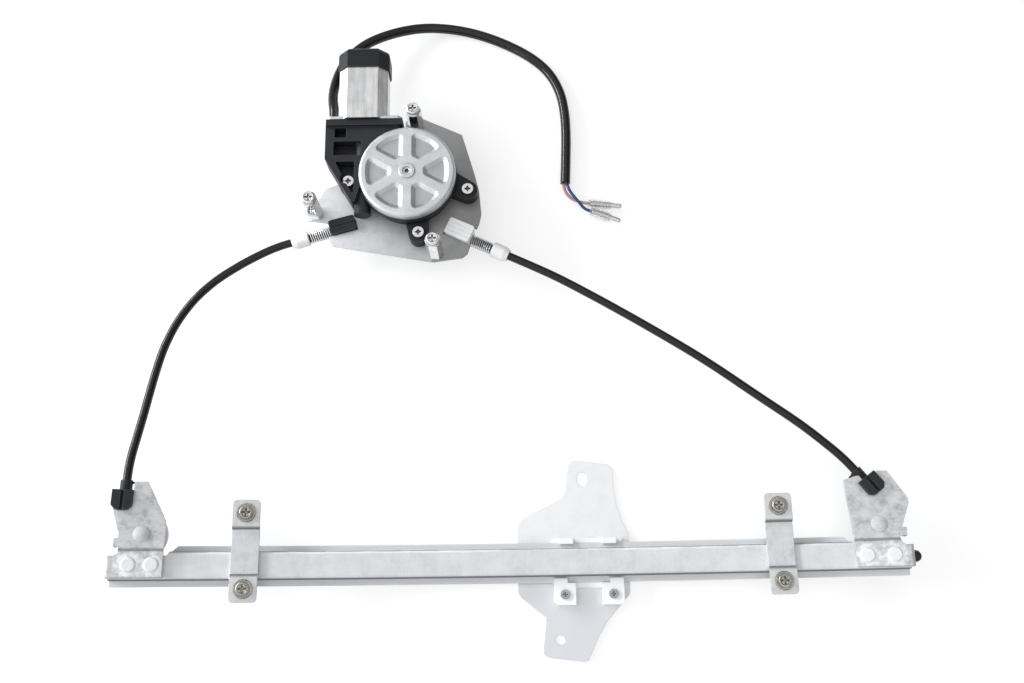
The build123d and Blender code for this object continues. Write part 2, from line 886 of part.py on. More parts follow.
with BuildPart() as strap_weld_nuts:
    for side, y in strap_points:
        with BuildSketch(moved(strap_seat[side], 0, y, tab_back)):
            RegularPolygon(nut_hex / 2, 6, major_radius=False)
            Circle(m6_radius + m6_gap, mode=Mode.SUBTRACT)
        extrude(amount=-nut_height)
save("strap_weld_nuts", strap_weld_nuts)

# Carrier plate, bolted to the door glass
carrier_outline = [
    (-47.2, 12.8),
    (-47.0, 24.5),
    (-44.2, 29.4),
    (-16.0, 43.6),
    (-14.3, 46.9),
    (-11.2, 66.6),
    (-9.1, 68.4),
    (-6.0, 69.0),
    (16.1, 66.1),
    (19.3, 61.8),
    (19.1, 51.3),
    (20.6, 39.1),
    (23.5, 28.3),
    (28.3, 18.5),
    (28.0, 12.5),
    (27.6, -14.2),
    (27.3, -20.9),
    (21.0, -27.9),
    (11.8, -38.0),
    (5.5, -48.1),
    (0.1, -59.4),
    (-2.2, -63.3),
    (-5.1, -63.5),
    (-27.2, -60.8),
    (-30.6, -58.9),
    (-31.2, -56.0),
    (-29.0, -39.3),
    (-28.9, -35.1),
    (-44.9, -22.3),
    (-46.9, -18.7),
    (-46.8, -13.5),
]
screw_points = [(-hook_centre, shoe_screw_y), (hook_centre, shoe_screw_y)]
with BuildPart() as carrier_plate:
    with BuildSketch():
        with BuildLine():
            Polyline(*carrier_outline, close=True)
        make_face()
        with Locations((slot_x, slot_y)):
            SlotOverall(slot_length, slot_width, rotation=90, mode=Mode.SUBTRACT)
        with Locations((carrier_hole_x, carrier_hole_y)):
            Circle(carrier_hole_radius, mode=Mode.SUBTRACT)
        with Locations(*screw_points):
            Circle(shoe_screw_radius + shaft_clearance, mode=Mode.SUBTRACT)
    extrude(amount=carrier_sheet)
save("carrier_plate", carrier_plate)

# Slider: plastic shoe that runs on the rail's two flanges and holds the cable's ends
shoe_top_z = carrier_sheet + shoe_base
flange_front_z = rail_face_z - rail_depth + rail_sheet
lip_low_z = flange_front_z + 0.5
hook_top_z = lip_low_z + shoe_lip
holder_top_z = rail_face_z - rail_sheet - 0.8
side_gap = 0.35
hook_high_y = -rail_flange_half - side_gap
cable_z = rail_face_z - cable_depth
with BuildPart() as slider_shoe:
    with BuildSketch(Plane.XY.offset(carrier_sheet)):
        with Locations((0, (shoe_high_y + hook_low_y) / 2)):
            Rectangle(2 * (hook_centre + hook_length / 2), shoe_high_y - hook_low_y)
        with Locations((0, hook_low_y), (0, hook_low_y + 1)):
            Rectangle(2 * (hook_centre - hook_length / 2), 2 * (shoe_low_y - hook_low_y),
                      mode=Mode.SUBTRACT)
    extrude(amount=shoe_base)
    with BuildSketch(Plane.XY.offset(carrier_sheet)):
        with Locations(*[(x, (hook_low_y + hook_high_y) / 2) for x in (-hook_centre, hook_centre)]):
            Rectangle(hook_length, hook_high_y - hook_low_y)
    extrude(amount=hook_top_z - carrier_sheet)
    outer = slider_shoe.edges().filter_by(Axis.Z).filter_by(lambda e: e.center().Y < hook_low_y + 0.1)
    chamfer(outer.filter_by(lambda e: abs(e.center().X) > hook_centre + hook_length / 2 - 0.1), 2.4)
    with BuildSketch(Plane.XY.offset(lip_low_z)):
        with Locations(*[(s * (hook_centre + 2.6), hook_high_y + hook_lip_reach / 2) for s in (-1, 1)]):
            Rectangle(hook_length - 5.2, hook_lip_reach)
    extrude(amount=shoe_lip)
    with BuildSketch(Plane.XY.offset(carrier_sheet)):
        with Locations(*[(s * tip_centre, rail_flange_half + side_gap + tip_width / 2) for s in (-1, 1)]):
            Rectangle(tip_length, tip_width)
    extrude(amount=hook_top_z - carrier_sheet)
    with BuildSketch(Plane.XY.offset(lip_low_z)):
        with Locations(*[(s * tip_centre, rail_flange_half + side_gap - tip_lip_reach / 2)
                         for s in (-1, 1)]):
            Rectangle(tip_length, tip_lip_reach)
    extrude(amount=shoe_lip)
    with BuildSketch(Plane.XY.offset(shoe_top_z)):
        with Locations((0, (holder_low_y + rail_inner_half - side_gap) / 2)):
            Rectangle(holder_length, rail_inner_half - side_gap - holder_low_y)
    extrude(amount=holder_top_z - shoe_top_z)
    with BuildSketch(Plane(origin=(-holder_length, cable_y, cable_z), z_dir=(1, 0, 0))):
        Circle(cable_radius + cable_gap)
    extrude(amount=2 * holder_length, mode=Mode.SUBTRACT)
    with BuildSketch(Plane.XY.offset(cable_z)):
        with Locations(*[(s * nipple_centre, cable_y) for s in (-1, 1)]):
            Rectangle(nipple_length + 2 * nipple_gap, 2 * (nipple_radius + nipple_gap))
    extrude(amount=holder_top_z - cable_z, mode=Mode.SUBTRACT)
    for s in (-1, 1):
        start = s * nipple_centre - nipple_length / 2 - nipple_gap
        with BuildSketch(Plane(origin=(start, cable_y, cable_z), z_dir=(1, 0, 0))):
            Circle(nipple_radius + nipple_gap)
        extrude(amount=nipple_length + 2 * nipple_gap, mode=Mode.SUBTRACT)
    with BuildSketch(Plane.XY):
        with Locations(*screw_points):
            Circle(shoe_screw_radius + shaft_clearance)
    extrude(amount=hook_top_z + 1, mode=Mode.SUBTRACT)
save("slider_shoe", slider_shoe)

with BuildPart() as shoe_screws:
    for x, y in screw_points:
        with BuildSketch(Plane.XY.offset(0.3)):
            with Locations((x, y)):
                Circle(shoe_screw_radius)
        extrude(amount=hook_top_z - 0.3)
        with BuildSketch(Plane.XY.offset(hook_top_z)):
            with Locations((x, y)):
                Circle(shoe_screw_head_radius)
        extrude(amount=shoe_screw_head_height)
        with BuildSketch(Plane.XY.offset(hook_top_z + shoe_screw_head_height)):
            with Locations((x, y)):
                Rectangle(3.2, 0.8)
                Rectangle(0.8, 3.2)
        extrude(amount=-0.8, mode=Mode.SUBTRACT)
save("shoe_screws", shoe_screws)

with BuildPart() as cable_nipples:
    for s in (-1, 1):
        start = s * nipple_centre - nipple_length / 2
        with BuildSketch(Plane(origin=(start, cable_y, cable_z), z_dir=(1, 0, 0))):
            Circle(nipple_radius)
            Circle(cable_radius + cable_gap, mode=Mode.SUBTRACT)
        extrude(amount=nipple_length)
save("cable_nipples", cable_nipples)


def unit(height, x=0.0, y=0.0):
    """Plane of the motor unit, its origin on the drum's axis unless moved by x, y."""
    return Plane(origin=(drum_x + x, drum_y + y, height))


def lengthwise(y):
    """Plane across the worm's axis at y from the drum's axis; a sketch's y is the world's Z."""
    return Plane(origin=(drum_x - motor_offset, drum_y + y, motor_z), x_dir=(-1, 0, 0), z_dir=(0, 1, 0))


def exit_plane(side, along, height=0.0):
    """Plane across a cable's exit line: x is level across it, y is up, z away from the drum."""
    angle = radians(left_exit_angle if side == "left" else right_exit_angle)
    direction = Vector(cos(angle), sin(angle))
    hand = 1 if side == "left" else -1
    touch = Vector(-direction.Y, direction.X) * (drum_groove_radius * hand)
    low = Vector(drum_x, drum_y) + touch + direction * along
    point = Vector(low.X, low.Y, exit_z[side] + height)
    return Plane(origin=point, x_dir=(-direction.Y, direction.X, 0), z_dir=direction)


exit_z = {"left": left_exit_z, "right": right_exit_z}
exit_block_end = {side: exit_block_start[side] + exit_block_length for side in hands}

# Drum housing: open case under the mounting plate, with ears and a spout for each cable
with BuildPart() as drum_housing:
    with BuildSketch(unit(0)):
        Circle(drum_case_radius)
    extrude(amount=plate_back_z)
    for x, y in lug_points:
        with BuildSketch(unit(plate_back_z)):
            with Locations((x, y), (x * 0.5, y * 0.5)):
                Circle(drum_ear_radius)
            make_hull()
        extrude(amount=-drum_ear_height)
    for side in hands:
        low = exit_spout_low_z - exit_z[side]
        high = plate_back_z - exit_z[side]
        with BuildSketch(exit_plane(side, 12)):
            with Locations((0, (low + high) / 2)):
                Rectangle(2 * exit_spout_half, high - low)
        extrude(amount=exit_block_start[side] - 12)
    with BuildSketch(unit(drum_case_wall)):
        Circle(drum_flange_radius + drum_case_gap)
    extrude(amount=plate_back_z, mode=Mode.SUBTRACT)
    with BuildSketch(unit(1)):
        Circle(output_shaft_radius + shaft_clearance)
    extrude(amount=drum_case_wall, mode=Mode.SUBTRACT)
    for side in hands:
        with BuildSketch(exit_plane(side, 4)):
            Circle(cable_radius + cable_gap + 0.2)
        extrude(amount=60, mode=Mode.SUBTRACT)
    with BuildSketch(unit(plate_back_z)):
        with Locations(*lug_points):
            Circle(housing_screw_radius + shaft_clearance)
    extrude(amount=-drum_ear_height, mode=Mode.SUBTRACT)
save("drum_housing", drum_housing)

# Cable drum with its wound turns, on the output shaft under the worm wheel
drum_low = drum_case_wall + drum_case_gap
drum_high = plate_back_z - 1.6
drum_profile = [
    (output_shaft_radius, drum_low),
    (drum_flange_radius, drum_low),
    (drum_flange_radius, drum_low + 1),
]
groove_floor = drum_groove_radius - cable_radius - 0.05
groove_heights = [left_exit_z - drum_groove_pitch * i for i in range(5)][::-1]
for z in groove_heights:
    drum_profile += [(groove_floor + 0.6, z - 1.1), (groove_floor, z - 0.7)]
    drum_profile += [(groove_floor, z + 0.7), (groove_floor + 0.6, z + 1.1)]
drum_profile += [(drum_flange_radius, drum_high - 0.8), (drum_flange_radius, drum_high)]
drum_profile += [(output_shaft_radius, drum_high)]
unit_side = Plane(origin=(drum_x, drum_y, 0), x_dir=(1, 0, 0), z_dir=(0, -1, 0))
unit_axis = Axis((drum_x, drum_y, 0), (0, 0, 1))
with BuildPart() as cable_drum:
    with BuildSketch(unit_side):
        with BuildLine():
            Polyline(*drum_profile, close=True)
        make_face()
    revolve(axis=unit_axis)
save("cable_drum", cable_drum)

with BuildPart() as wound_cable:
    with BuildSketch(unit_side):
        with Locations(*[(drum_groove_radius, z) for z in groove_heights]):
            Circle(cable_radius)
    revolve(axis=unit_axis)
save("wound_cable", wound_cable)

wheel_low = plate_front_z + gear_case_floor + 2
wheel_profile = [
    (output_shaft_radius, wheel_low),
    (wheel_radius, wheel_low),
    (wheel_radius, wheel_low + wheel_thickness),
    (wheel_radius - 4, wheel_low + wheel_thickness),
    (wheel_radius - 5, wheel_low + wheel_thickness - 3),
    (8, wheel_low + wheel_thickness - 3),
    (8, wheel_low + wheel_thickness),
    (output_shaft_radius, wheel_low + wheel_thickness),
]
with BuildPart() as worm_wheel:
    with BuildSketch(unit_side):
        with BuildLine():
            Polyline(*wheel_profile, close=True)
        make_face()
    revolve(axis=unit_axis)
save("worm_wheel", worm_wheel)

with BuildPart() as output_shaft:
    with BuildSketch(unit(1.2)):
        Circle(output_shaft_radius)
    extrude(amount=wheel_low + wheel_thickness - 1.2)
save("output_shaft", output_shaft)

# Straight cables from the drum to the conduits, inside the spouts
cable_start = 9.0
with BuildPart() as drum_cables:
    for side in hands:
        with BuildSketch(exit_plane(side, cable_start)):
            Circle(cable_radius)
        extrude(amount=exit_block_end[side] - conduit_lead_in - cable_start)
save("drum_cables", drum_cables)

# Mounting plate of the motor unit
mounting_outline = [
    (9.1, 51.4),
    (37.6, 38.0),
    (46.4, 7.0),
    (49.6, -6.4),
    (51.1, -24.1),
    (49.4, -31.7),
    (45.5, -40.0),
    (41.1, -53.9),
    (37.6, -56.8),
    (16.8, -59.6),
    (-53.4, -46.6),
    (-56.2, -43.7),
    (-58.3, -28.7),
    (-73.1, -27.0),
    (-74.9, -19.1),
    (-65.5, -12.0),
    (-60.0, -2.7),
    (-51.5, 0.5),
    (-30.0, 10.0),
    (-9.0, 34.0),
    (-3.5, 38.0),
    (-3.5, 49.4),
    (1.0, 52.8),
]
with BuildPart() as mounting_plate:
    with BuildSketch(unit(plate_back_z)):
        with BuildLine():
            FilletPolyline(*mounting_outline, radius=1.6, close=True)
        make_face()
        Circle(output_shaft_radius + 1.0, mode=Mode.SUBTRACT)
        with Locations(*lug_points):
            Circle(housing_screw_radius + shaft_clearance, mode=Mode.SUBTRACT)
        with Locations(*standoff_points):
            Circle(standoff_rivet_radius + shaft_clearance, mode=Mode.SUBTRACT)
    extrude(amount=plate_sheet)
    for side in hands:
        with BuildSketch(exit_plane(side, exit_block_start[side] - exit_gap)):
            with Locations((0, plate_back_z - exit_z[side])):
                Rectangle(exit_block_width[side] + 2 * exit_gap, 6)
        extrude(amount=40, mode=Mode.SUBTRACT)
save("mounting_plate", mounting_plate)

flange_middle = plate_front_z + 0.5 + can_flange_height / 2 - motor_z

# Gear housing: wheel case, worm tube, ribbed junction and the collar round the motor
junction = [
    (-58.5, can_start),
    (-58.5, 12.3),
    (-39.2, -20.4),
    (-36.6, -20.4),
    (-33.5, -9.0),
    (-18.0, -9.0),
    (-6.0, 30.0),
    (-6.0, can_start),
]
upper_pocket = [(-52.0, 28.5), (-43.7, 28.5), (-43.7, 36.0), (-52.0, 36.0)]
middle_pocket = [(-52.5, 14.8), (-33.0, 14.8), (-33.0, 25.6), (-52.5, 25.6)]
screw_recess = [(-51.2, 10.0), (-37.5, 10.0), (-37.5, -17.0)]
with BuildPart() as gear_housing:
    with BuildSketch(unit(plate_front_z)):
        Circle(gear_case_radius)
    extrude(amount=gear_case_height)
    with BuildSketch(unit(gear_case_top_z)):
        Circle(gear_rim_radius)
    extrude(amount=-gear_rim_height)
    with BuildSketch(unit(plate_front_z)):
        with BuildLine():
            FilletPolyline(*junction, radius=1.5, close=True)
        make_face()
    extrude(amount=junction_height)
    with BuildSketch(unit(gear_case_top_z)):
        Circle(cap_radius + 0.3)
    extrude(amount=8, mode=Mode.SUBTRACT)
    for pocket in (upper_pocket, middle_pocket, screw_recess):
        with BuildSketch(unit(plate_front_z + junction_height)):
            with BuildLine():
                FilletPolyline(*pocket, radius=1.0, close=True)
            make_face()
        extrude(amount=lug_height - junction_height, mode=Mode.SUBTRACT)
    with BuildSketch(unit(plate_front_z + junction_height, *lug_points[0])):
        Circle(housing_screw_head_radius + 0.9)
    extrude(amount=lug_height - junction_height, mode=Mode.SUBTRACT)
    with BuildSketch(lengthwise(can_start)):
        with Locations((-can_flange_shift, flange_middle)):
            Rectangle(can_flange_width, can_flange_height - 1)
    extrude(amount=-housing_collar)
    with BuildSketch(lengthwise(can_start)):
        Circle(worm_tube_radius)
    extrude(amount=-can_start - worm_tube_end)
    for point, root in zip(lug_points, lug_roots):
        with BuildSketch(unit(plate_front_z)):
            with Locations(point):
                Circle(lug_radius)
            with Locations(root):
                Circle(lug_root_radius)
            make_hull()
        extrude(amount=lug_height)
    with BuildSketch(unit(plate_front_z + gear_case_floor)):
        Circle(wheel_radius + wheel_gap)
    extrude(amount=gear_case_height, mode=Mode.SUBTRACT)
    with BuildSketch(unit(plate_front_z)):
        Circle(output_shaft_radius + shaft_clearance)
    extrude(amount=gear_case_height, mode=Mode.SUBTRACT)
    with BuildSketch(lengthwise(can_start)):
        Circle(worm_radius + cable_gap)
    extrude(amount=-can_start - worm_bore_end, mode=Mode.SUBTRACT)
    with BuildSketch(lengthwise(0)):
        Circle(armature_shaft_radius + shaft_clearance)
    extrude(amount=worm_tube_wall - worm_tube_end, mode=Mode.SUBTRACT)
    with BuildSketch(unit(plate_front_z)):
        with Locations(*lug_points):
            Circle(housing_screw_radius + shaft_clearance)
    extrude(amount=lug_height, mode=Mode.SUBTRACT)
    x, y, z = lead_route[0]
    with BuildSketch(Plane(origin=(x, y - bore_gap, z), x_dir=(-1, 0, 0), z_dir=(0, 1, 0))):
        Circle(lead_radius + exit_gap)
    extrude(amount=12, mode=Mode.SUBTRACT)
save("gear_housing", gear_housing)

# Cast cap over the worm wheel, with six sunk sectors round a boss
sector = 360 / cap_pockets
with BuildPart() as gear_cap:
    with BuildSketch(unit(gear_case_top_z)):
        Circle(cap_radius)
    extrude(amount=cap_height)
    fillet(gear_cap.faces().sort_by(Axis.Z)[-1].edges(), cap_round)
    with BuildSketch(unit(gear_case_top_z)):
        Circle(cap_radius - cap_wall)
    extrude(amount=cap_height - cap_sheet - pocket_depth, mode=Mode.SUBTRACT)
    with BuildSketch(unit(gear_case_top_z + cap_height)):
        Circle(pocket_outer_radius)
        Circle(pocket_inner_radius, mode=Mode.SUBTRACT)
        with PolarLocations(0, cap_pockets, start_angle=pocket_first_angle):
            with Locations((pocket_outer_radius, 0)):
                Rectangle(2 * pocket_outer_radius, pocket_rib, mode=Mode.SUBTRACT)
        fillet(vertices(), pocket_corner)
    extrude(amount=-pocket_depth, taper=pocket_wall_angle, mode=Mode.SUBTRACT)
    with BuildSketch(unit(gear_case_top_z + cap_height)):
        Circle(cap_boss_radius)
    extrude(amount=cap_boss_height)
    with BuildSketch(unit(gear_case_top_z + cap_height + cap_boss_height)):
        Circle(cap_dish_radius)
    extrude(amount=-cap_boss_height, mode=Mode.SUBTRACT)
    with BuildSketch(unit(gear_case_top_z + cap_height)):
        Circle(cap_hole_radius)
    extrude(amount=-cap_hole_depth, mode=Mode.SUBTRACT)
save("gear_cap", gear_cap)

# Screws that hold the gear housing, plate and drum housing together
housing_screw_z = plate_front_z + lug_height
with BuildPart() as housing_screws:
    for x, y in lug_points:
        with BuildSketch(unit(plate_back_z - drum_ear_height + 1, x, y)):
            Circle(housing_screw_radius)
        extrude(amount=housing_screw_z - plate_back_z + drum_ear_height - 1)
        with BuildSketch(unit(housing_screw_z, x, y)):
            Circle(housing_screw_head_radius)
        extrude(amount=housing_screw_head_height)
        with BuildSketch(unit(housing_screw_z + housing_screw_head_height, x, y)):
            Rectangle(housing_screw_slot, housing_screw_slot_width)
            Rectangle(housing_screw_slot_width, housing_screw_slot)
        extrude(amount=-housing_screw_slot_depth, mode=Mode.SUBTRACT)
save("housing_screws", housing_screws)

# Hexagonal standoffs, peened into the plate and tapped for the door's screws
with BuildPart() as standoffs:
    for x, y in standoff_points:
        with BuildSketch(unit(plate_front_z, x, y)):
            RegularPolygon(standoff_hex / 2, 6, major_radius=False)
        extrude(amount=standoff_height)
        with BuildSketch(unit(plate_front_z, x, y)):
            Circle(standoff_rivet_radius)
        extrude(amount=-plate_sheet)
        with BuildSketch(unit(plate_back_z, x, y)):
            Circle(standoff_rivet_radius + 0.8)
        extrude(amount=-0.8)
        with BuildSketch(unit(plate_front_z + standoff_height, x, y)):
            Circle(m6_radius + m6_gap)
        extrude(amount=-screw_length - 2, mode=Mode.SUBTRACT)
save("standoffs", standoffs)

with BuildPart() as standoff_screws:
    for x, y in standoff_points:
        add(flange_screw(unit(plate_front_z + standoff_height, x, y), standoff_screw_flange))
save("standoff_screws", standoff_screws)


def can_outline(width, depth, corner):
    """Section of the motor's can: a rectangle with its corners cut off."""
    with BuildSketch() as shape:
        Rectangle(width, depth)
        chamfer(shape.vertices(), corner)
    return shape.sketch


# Motor can with its flange
with BuildPart() as motor_can:
    with BuildSketch(lengthwise(can_start)):
        add(can_outline(can_width, can_depth, can_chamfer))
    extrude(amount=can_end - can_start)
    with BuildSketch(lengthwise(can_start)):
        with Locations((-can_flange_shift, flange_middle)):
            Rectangle(can_flange_width, can_flange_height)
            chamfer(vertices().sort_by(Axis.Y)[-2:], 3)
        notch = 2 * (lead_radius + exit_gap)
        with Locations((drum_x - motor_offset - lead_route[0][0] + notch / 2, lead_route[0][2] - motor_z)):
            Rectangle(2 * notch, notch, mode=Mode.SUBTRACT)
    extrude(amount=can_flange)
    with BuildSketch(lengthwise(can_start)):
        inner = 2 * can_wall
        add(can_outline(can_width - inner, can_depth - inner, can_chamfer - can_wall * 0.4))
    extrude(amount=can_end - can_start - can_wall, mode=Mode.SUBTRACT)
    with BuildSketch(lengthwise(can_end)):
        Circle(armature_shaft_radius + shaft_clearance)
    extrude(amount=-can_wall, mode=Mode.SUBTRACT)
save("motor_can", motor_can)

cap_gap = 0.1
cap_add = 2 * (end_cap_wall + cap_gap)
with BuildPart() as motor_end_cap:
    with BuildSketch(lengthwise(end_cap_start)):
        add(can_outline(can_width + cap_add, can_depth + cap_add, can_chamfer + 0.8))
    extrude(amount=end_cap_end - end_cap_start)
    fillet(motor_end_cap.faces().sort_by(Axis.Y)[-1].edges(), end_cap_round)
    with BuildSketch(lengthwise(end_cap_start)):
        add(can_outline(can_width + 2 * cap_gap, can_depth + 2 * cap_gap, can_chamfer + 0.1))
    extrude(amount=can_end - end_cap_start, mode=Mode.SUBTRACT)
    with BuildSketch(lengthwise(can_end)):
        Circle(armature_shaft_radius + 2)
    extrude(amount=1.5, mode=Mode.SUBTRACT)
save("motor_end_cap", motor_end_cap)

# Armature with its shaft and worm in one
armature_low = can_start + can_flange + 2
with BuildPart() as motor_armature:
    with BuildSketch(lengthwise(2.4 - worm_tube_end)):
        Circle(armature_shaft_radius)
    extrude(amount=can_end + 0.8 + worm_tube_end - 2.4)
    with BuildSketch(lengthwise(-worm_length / 2)):
        Circle(worm_radius)
    extrude(amount=worm_length)
    with BuildSketch(lengthwise(armature_low)):
        Circle(armature_radius)
    extrude(amount=can_end - can_wall - 4 - armature_low)
save("motor_armature", motor_armature)

# Cable blocks that end the conduits at the drum housing
for side in hands:
    low = exit_block_low_z - exit_z[side]
    high = exit_block_high_z - exit_z[side]
    width = exit_block_width[side]
    with BuildPart() as cable_block:
        with BuildSketch(exit_plane(side, exit_block_start[side])):
            with Locations((0, (low + high) / 2)):
                Rectangle(width, high - low)
        extrude(amount=exit_block_length)
        fillet(cable_block.edges().filter_by(Axis.Z), 1.8)
        for x in exit_block_grooves[side]:
            with BuildSketch(exit_plane(side, exit_block_start[side])):
                with Locations((x, high)):
                    Rectangle(1.1, 1.6)
            extrude(amount=exit_block_length, mode=Mode.SUBTRACT)
        with BuildSketch(exit_plane(side, exit_block_start[side])):
            Circle(cable_radius + cable_gap)
        extrude(amount=exit_block_length, mode=Mode.SUBTRACT)
        with BuildSketch(exit_plane(side, exit_block_end[side] - conduit_lead_in)):
            Circle(conduit_radius + bore_gap)
        extrude(amount=conduit_lead_in, mode=Mode.SUBTRACT)
    save(f"{side}_cable_block", cable_block)

# Conduit springs and ferrules
for side in hands:
    first = exit_plane(side, exit_block_end[side] + spring_wire + 0.05)
    with BuildPart() as spring:
        with BuildLine() as coil:
            Helix(
                pitch=spring_pitch,
                height=spring_length - 2 * spring_wire - 0.1,
                radius=spring_radius,
                center=first.origin,
                direction=first.z_dir,
            )
        with BuildSketch(Plane(origin=coil.line @ 0, z_dir=coil.line % 0)):
            RegularPolygon(spring_wire, 6)
        sweep(path=coil.wires()[0], is_frenet=True)
    save(f"{side}_spring", spring)
    nose = exit_plane(side, exit_block_end[side] + spring_length)
    with BuildPart() as ferrule:
        with BuildSketch(nose):
            Circle(ferrule_radius)
        extrude(amount=ferrule_length)
        chamfer(ferrule.faces().sort_by(Axis(nose.origin, nose.z_dir))[0].edges(), 0.6)
        far = ferrule.faces().sort_by(Axis(nose.origin, nose.z_dir))[-1].edges()
        chamfer(far, length=3.6, length2=ferrule_radius - ferrule_nose_radius)
        with BuildSketch(nose):
            Circle(conduit_radius + bore_gap)
        extrude(amount=ferrule_length, mode=Mode.SUBTRACT)
    save(f"{side}_ferrule", ferrule)

# Conduits from the cable blocks to the end brackets
conduit_route = {"left": left_conduit_route, "right": right_conduit_route}
for side in hands:
    start = exit_plane(side, exit_block_end[side] - conduit_lead_in + bore_gap).origin
    straight = exit_plane(side, exit_block_end[side] + spring_length + ferrule_length + 11).origin
    approach = fitting_plane(side)
    before = spot(approach, 0, fitting_length / 2 + fitting_collar_length + 11, -cable_depth)
    route = [tuple(start), tuple(straight), *conduit_route[side], tuple(before)]
    route.append(tuple(conduit_end[side] + approach.y_dir * bore_gap))
    cord(f"{side}_conduit", route, conduit_radius)

# Motor lead, its two wires and their terminals
cord("lead_sleeve", lead_route, lead_radius)
wire_route = {"pink": pink_wire_route, "blue": blue_wire_route}
terminal_planes = []
for wire, route in wire_route.items():
    start = Vector(*terminal_start[wire])
    heading = Vector(*terminal_end[wire]) - start
    terminal_planes.append((Plane(origin=start, z_dir=heading.normalized()), heading.length))
    before = start - heading.normalized() * wire_straight
    cord(f"{wire}_wire", [*route, tuple(before), tuple(start)], wire_radius)
with BuildPart() as terminal_sleeves:
    for plane, length in terminal_planes:
        reach = length - pin_length + terminal_overlap
        sleeve_plane = Plane(origin=plane.origin, x_dir=plane.z_dir, z_dir=plane.x_dir)
        bore = terminal_barrel_radius + terminal_bore_gap
        sleeve_profile = [
            (-terminal_overlap, bore),
            (-terminal_overlap, terminal_end_radius),
            (-terminal_overlap + 0.35 * reach, terminal_radius),
            (-terminal_overlap + 0.65 * reach, terminal_radius),
            (-terminal_overlap + reach, terminal_end_radius),
            (-terminal_overlap + reach, bore),
        ]
        with BuildSketch(sleeve_plane):
            with BuildLine():
                Polyline(*sleeve_profile, close=True)
            make_face()
        revolve(axis=Axis(plane.origin, plane.z_dir))
save("terminal_sleeves", terminal_sleeves)

with BuildPart() as bullet_terminals:
    for plane, length in terminal_planes:
        with BuildSketch(plane.offset(0.1)):
            Circle(terminal_barrel_radius)
        extrude(amount=length - pin_length - 0.1)
        with BuildSketch(plane.offset(length - pin_length)):
            Circle(pin_radius)
        extrude(amount=pin_length)
        tip = bullet_terminals.faces().sort_by(Axis(plane.origin, plane.z_dir))[-1]
        fillet(tip.edges(), pin_radius - 0.3)
save("bullet_terminals", bullet_terminals)
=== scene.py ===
"""Looks of the window regulator: materials, motor lead, floor, light and camera."""

import math

import bpy
from mathutils import Matrix, Vector


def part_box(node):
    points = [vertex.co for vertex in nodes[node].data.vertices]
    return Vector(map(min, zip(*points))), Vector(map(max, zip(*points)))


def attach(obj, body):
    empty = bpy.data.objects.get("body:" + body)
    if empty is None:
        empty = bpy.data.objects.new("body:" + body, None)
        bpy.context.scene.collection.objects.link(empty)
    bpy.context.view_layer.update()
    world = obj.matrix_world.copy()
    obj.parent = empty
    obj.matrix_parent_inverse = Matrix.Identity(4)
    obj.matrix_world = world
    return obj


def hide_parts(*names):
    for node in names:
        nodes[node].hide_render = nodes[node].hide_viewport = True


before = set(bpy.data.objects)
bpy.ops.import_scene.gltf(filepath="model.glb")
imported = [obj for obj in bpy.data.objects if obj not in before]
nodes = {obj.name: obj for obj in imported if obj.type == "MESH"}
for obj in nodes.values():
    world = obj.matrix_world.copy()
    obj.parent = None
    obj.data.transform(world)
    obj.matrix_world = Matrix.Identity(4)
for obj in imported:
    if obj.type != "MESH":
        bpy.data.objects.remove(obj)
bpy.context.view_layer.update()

# Camera: seen from above and from the rail's side, turned by one degree
look_at = Vector((-0.0482, 0.1522, 0.012))
distance = 0.75
tilt = math.radians(16.0)
roll = math.radians(1.0)
focal_px = 1071.0
frame_width_px = 1024.0
sensor_width_mm = 36.0

ahead = Vector((0, math.sin(tilt), -math.cos(tilt)))
across = Vector((1, 0, 0))
up = Vector((0, math.cos(tilt), math.sin(tilt)))
right = across * math.cos(roll) - up * math.sin(roll)
top = across * math.sin(roll) + up * math.cos(roll)
place = look_at - ahead * distance
camera_data = bpy.data.cameras.new("camera")
camera_data.sensor_width = sensor_width_mm
camera_data.lens = sensor_width_mm * focal_px / frame_width_px
camera_data.clip_start = 0.01
camera = bpy.data.objects.new("camera", camera_data)
camera.matrix_world = Matrix(
    (
        (right.x, top.x, -ahead.x, place.x),
        (right.y, top.y, -ahead.y, place.y),
        (right.z, top.z, -ahead.z, place.z),
        (0, 0, 0, 1),
    )
)
bpy.context.scene.collection.objects.link(camera)
bpy.context.scene.camera = camera


